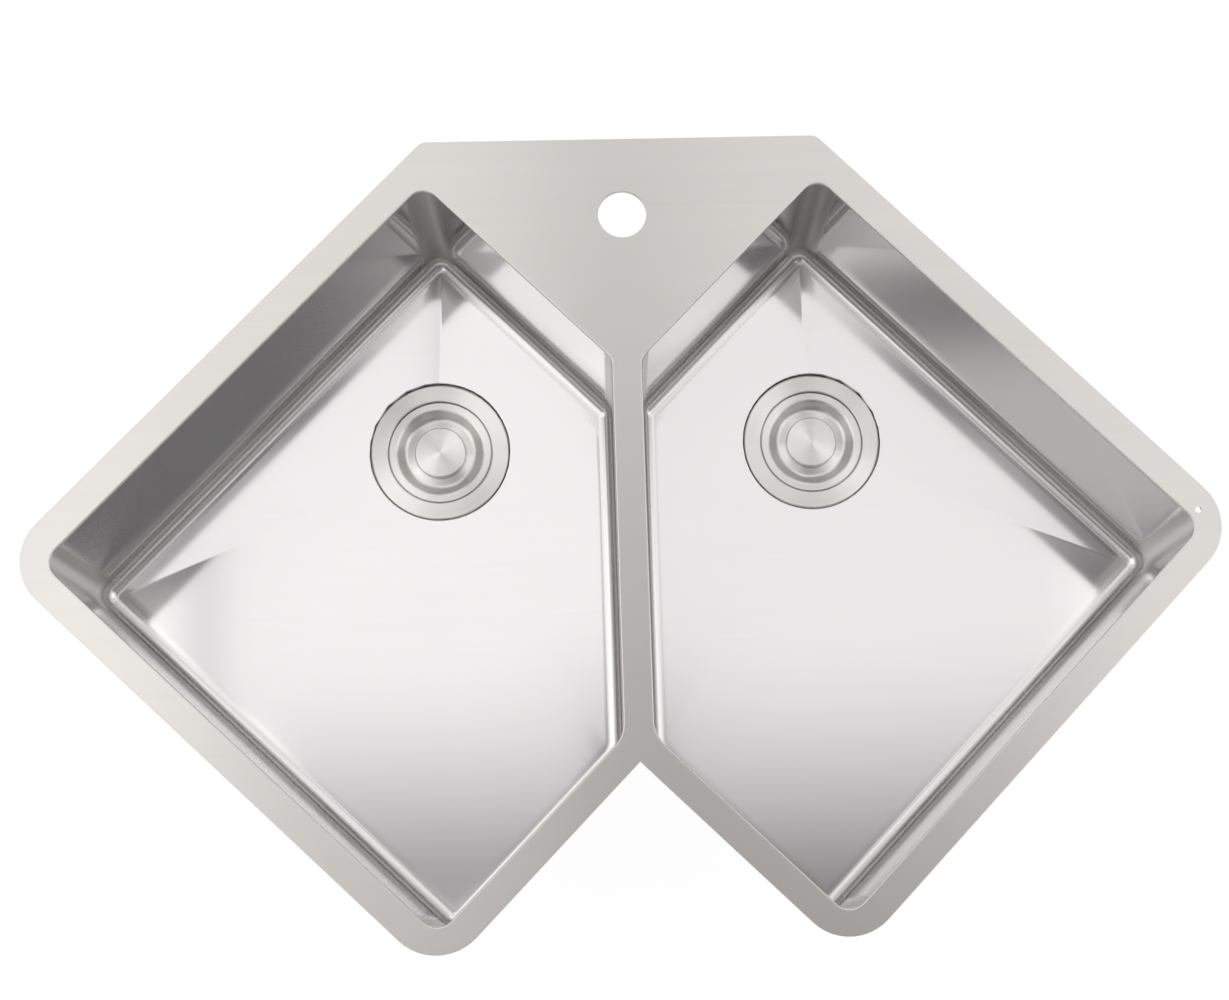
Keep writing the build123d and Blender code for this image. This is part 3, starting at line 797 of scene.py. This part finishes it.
# ---------------------------------------------------------------- studio
@dataclass(frozen=True)
class SoftBox:
    """A level lamp over the sink whose face fades out towards its edges.

    left, right, front and back are its edges and height is its height, all in metres. radiance is
    how bright its middle is, where 1 shows as white. fade_across and fade_along are the widths of
    its fading edges along X and Y in metres. No two boxes hang at one height, because where faces
    meet in one plane only one of them shines.
    """

    name: str
    left: float
    right: float
    front: float
    back: float
    radiance: float
    fade_across: float
    fade_along: float
    height: float

    def hang(self) -> None:
        """Makes the lamp. The power of a flat lamp is pi times its radiance and its area."""
        data = bpy.data.lights.new(self.name, "AREA")
        data.shape = "RECTANGLE"
        data.size, data.size_y = self.right - self.left, self.back - self.front
        data.energy = self.radiance * pi * data.size * data.size_y
        data.use_nodes = True
        graph = Graph(data.node_tree)
        face = graph.node("ShaderNodeSeparateXYZ")
        graph.feed(face.inputs[0], graph.node("ShaderNodeNewGeometry").outputs["Parametric"])
        strength = 1.0
        for axis, reach, fade in (("X", data.size, self.fade_across), ("Y", data.size_y, self.fade_along)):
            off_middle = graph.math("ABSOLUTE", graph.math("MULTIPLY_ADD", face.outputs[axis], 2.0, -1.0))
            edge = graph.step(off_middle, 1.0, 1.0 - 2.0 * fade / reach)
            strength = graph.math("MULTIPLY", edge, strength)
        graph.feed(data.node_tree.nodes["Emission"].inputs["Strength"], strength)
        lamp = bpy.data.objects.new(self.name, data)
        lamp.location = ((self.left + self.right) / 2, (self.front + self.back) / 2, self.height)
        lamp.visible_camera = False
        bpy.context.scene.collection.objects.link(lamp)


@dataclass
class Studio:
    """Floor, soft boxes, room light and camera.

    The floor's sizes and the camera's place are in millimetres. The floor is level out to
    floor_flat, rises in a quarter circle of radius floor_bend and goes on upright to backdrop.
    paper is its colour and glow its own light, and shadow_share is how much of it a viewer sees as
    lit paper. room, room_low and room_front are how bright the ceiling, the walls and the dark part
    behind the camera are, and the edges say where these parts fade into each other. The camera's
    sensor and lens are in millimetres, its clip distances in metres and turned_by in degrees.
    """

    # Each box: left, right, front and back edge, radiance, fading across and along, height.
    boxes: tuple[SoftBox, ...] = (
        SoftBox("soft_box_over_left", -0.72, 0.0, -0.6, 0.95, 1.1, 0.15, 0.62, 2.0),
        SoftBox("soft_box_over_right", 0.0, 0.84, -0.6, 0.95, 1.0, 0.15, 0.62, 2.02),
        SoftBox("soft_box_rear", -1.3, 1.5, 0.3, 2.7, 0.8, 0.3, 0.4, 2.04),
        SoftBox("soft_box_left", -2.8, -0.62, -1.3, 0.65, 1.4, 0.12, 0.3, 2.06),
        SoftBox("soft_box_right", 0.69, 2.8, -1.2, 0.6, 1.2, 0.15, 0.3, 2.08),
        SoftBox("soft_box_front_left", -1.2, -0.45, -2.4, -0.75, 0.7, 0.15, 0.3, 2.1),
        SoftBox("soft_box_front_right", 0.45, 1.0, -2.4, -0.75, 0.3, 0.15, 0.3, 2.12),
        SoftBox("soft_box_middle", -0.58, 0.05, -1.15, -0.36, 0.65, 0.12, 0.2, 2.14),
        SoftBox("soft_box_tip_left", -0.8, -0.5, -0.5, -0.05, 0.8, 0.12, 0.15, 2.16),
    )
    floor_z: float = -278.0
    floor_flat: float = 7000.0
    floor_bend: float = 2000.0
    backdrop: float = 3500.0
    floor_rings: int = 16
    floor_sides: int = 96
    paper: float = 0.9
    glow: float = 1.06
    shadow_share: float = 0.1
    room: float = 0.12
    room_low: float = 0.95
    room_front: float = 0.15
    ceiling_edge: tuple[float, float] = (0.8, 0.6)
    dark_low_edge: tuple[float, float] = (0.4, 0.5)
    dark_back_edge: tuple[float, float] = (-0.12, -0.24)
    dark_sideways: float = 0.3
    sensor: float = 36.0
    clip: tuple[float, float] = (0.05, 50.0)
    lens: float = 71.34
    shift: tuple[float, float] = (-0.158, 0.0156)
    place: tuple[float, float, float] = (-20.3, -530.0, 1812.8)
    turned_by: tuple[float, float, float] = (9.232, -4.431, -2.536)

    def floor(self) -> None:
        """A level white floor that curves up far away into a low backdrop, and takes a soft shadow.

        Rings about the upright axis: level ones out to the flat's edge, then a quarter circle that
        rises, then an upright ring to the backdrop's height.
        """
        rise = np.linspace(0, pi / 2, self.floor_rings + 1)[1:]
        edge = self.floor_flat + self.floor_bend
        radius = np.concatenate([[0.0, self.floor_flat], self.floor_flat + self.floor_bend * np.sin(rise), [edge]])
        height = np.concatenate([[0.0, 0.0], self.floor_bend * (1 - np.cos(rise)), [self.backdrop]])
        angle = np.linspace(0, 2 * pi, self.floor_sides, endpoint=False)
        level = np.broadcast_to(height[:, None] + self.floor_z, (len(radius), len(angle)))
        rings = np.stack([radius[:, None] * np.cos(angle), radius[:, None] * np.sin(angle), level], axis=2)
        material = bpy.data.materials.new("studio_floor")
        material.use_nodes = True
        graph = Graph(material.node_tree)
        material.node_tree.nodes.clear()
        ray = graph.node("ShaderNodeLightPath")
        seen = graph.math("MAXIMUM", ray.outputs["Is Camera Ray"], ray.outputs["Is Glossy Ray"])
        seen = graph.math("MAXIMUM", seen, ray.outputs["Is Transmission Ray"])
        paper = graph.node("ShaderNodeBsdfDiffuse")
        paper.inputs["Color"].default_value = (self.paper, self.paper, self.paper, 1.0)
        glow = graph.node("ShaderNodeEmission")
        glow.inputs["Strength"].default_value = self.glow
        mixed = graph.node("ShaderNodeMixShader")
        graph.feed(mixed.inputs[0], graph.math("MULTIPLY", seen, 1.0 - self.shadow_share))
        graph.feed(mixed.inputs[1], paper.outputs[0])
        graph.feed(mixed.inputs[2], glow.outputs[0])
        end = graph.node("ShaderNodeOutputMaterial")
        graph.feed(end.inputs["Surface"], mixed.outputs[0])
        faces = grid_faces(len(radius), len(angle), 0, False)
        add_mesh("studio_floor", rings.reshape(-1, 3), faces, material)

    def lamps(self) -> None:
        """Hangs the soft boxes."""
        for box in self.boxes:
            box.hang()

    def world(self) -> None:
        """A grey room with pale walls, a dark ceiling, and a dark upper part behind the camera.

        Over the direction's Z, the sine of its height angle, an S-shaped curve over ceiling_edge
        goes from the ceiling to the walls. The dark part comes in by two more such curves
        multiplied: one over Z by dark_low_edge, and one by dark_back_edge over Y with a share
        dark_sideways of X's size added.
        """
        world = bpy.data.worlds.new("room")
        bpy.context.scene.world = world
        world.use_nodes = True
        graph = Graph(world.node_tree)
        direction = graph.node("ShaderNodeSeparateXYZ")
        graph.feed(direction.inputs[0], graph.node("ShaderNodeTexCoord").outputs["Generated"])
        below = graph.step(direction.outputs["Z"], *self.ceiling_edge)
        sideways = graph.math("ABSOLUTE", direction.outputs["X"])
        forward = graph.math("MULTIPLY_ADD", sideways, self.dark_sideways, direction.outputs["Y"])
        above = graph.step(direction.outputs["Z"], *self.dark_low_edge)
        behind = graph.math("MULTIPLY", above, graph.step(forward, *self.dark_back_edge))
        walls = graph.spread(behind, self.room_low, self.room_front)
        back = world.node_tree.nodes["Background"]
        back.inputs["Color"].default_value = (1.0, 1.0, 1.0, 1.0)
        graph.feed(back.inputs["Strength"], graph.spread(below, self.room, walls))

    def camera(self) -> None:
        """The camera, found from the straight edges and circles of the object in the photograph."""
        data = bpy.data.cameras.new("camera")
        data.sensor_fit = "HORIZONTAL"
        data.sensor_width = self.sensor
        data.lens = self.lens
        data.shift_x, data.shift_y = self.shift
        data.clip_start, data.clip_end = self.clip
        camera = bpy.data.objects.new("camera", data)
        camera.location = np.array(self.place) * METRES
        camera.rotation_euler = Euler([radians(angle) for angle in self.turned_by], "XYZ")
        bpy.context.scene.collection.objects.link(camera)
        bpy.context.scene.camera = camera


DECK_STEEL = SteelFinish(
    name="brushed_deck",
    brushing=Brushing.STRAIGHT,
    light=(0.745, 0.715, 0.69),
    dark=(0.685, 0.655, 0.63),
    roughness=0.33,
    roughness_swing=0.05,
    anisotropy=0.85,
    depth=0.000004,
    density=1000.0,
    length=0.2,
)
BOWL_STEEL = SteelFinish(
    name="satin_bowl",
    brushing=Brushing.SATIN,
    light=(0.77, 0.75, 0.752),
    dark=(0.71, 0.69, 0.692),
    roughness=0.085,
    roughness_swing=0.015,
    anisotropy=0.0,
    depth=0.0,
    bend_roughness=0.42,
    veil=1.9,
)
TURNED_STEEL = {
    side: SteelFinish(
        name=f"{side.label}_turned",
        brushing=Brushing.TURNED,
        light=(0.85, 0.83, 0.805),
        dark=(0.75, 0.73, 0.705),
        roughness=0.31,
        roughness_swing=0.06,
        anisotropy=0.95,
        depth=0.000006,
        density=1400.0,
        length=0.05,
        centre_x=side.value * DRAIN_OFFSET * METRES,
    )
    for side in Side
}
# Each matt finish: name, light and dark colour, roughness, grains per metre, their height in metres.
RUBBER = MattFinish("black_seal", (0.035, 0.035, 0.036), (0.02, 0.02, 0.021), 0.62, 900.0, 0.00004)
PAD = MattFinish("damping_pad", (0.13, 0.13, 0.135), (0.08, 0.08, 0.084), 0.8, 420.0, 0.0002)
FIBRE = MattFinish("pressed_fibre", (0.50, 0.31, 0.20), (0.36, 0.20, 0.12), 0.8, 1500.0, 0.00005)
NUT = MattFinish("moulded_nut", (0.84, 0.84, 0.82), (0.76, 0.76, 0.74), 0.42, 700.0, 0.00003)


def main() -> None:
    """Builds the looks in order: finishes, bowls, fittings, studio."""
    logging.basicConfig(level=logging.INFO, format="%(name)s: %(message)s")
    groups = {"brush": brush_group()}
    finishes = {
        "deck": DECK_STEEL.material(groups),
        "bowl": BOWL_STEEL.material(groups),
        "rubber": RUBBER.material(),
        "pad": PAD.material(),
        "fibre": FIBRE.material(),
        "nut": NUT.material(),
    }
    for side in Side:
        piece = Bowl(side).build(finishes["bowl"])
        LOG.info("%s: %d faces", piece.name, len(piece.data.polygons))
    Fittings().dress_all(groups, finishes)
    LOG.info("fittings dressed")
    studio = Studio()
    studio.floor()
    studio.lamps()
    studio.world()
    studio.camera()
    bpy.context.scene.view_settings.view_transform = "Standard"
    LOG.info("studio ready")


if __name__ == "__main__":
    main()
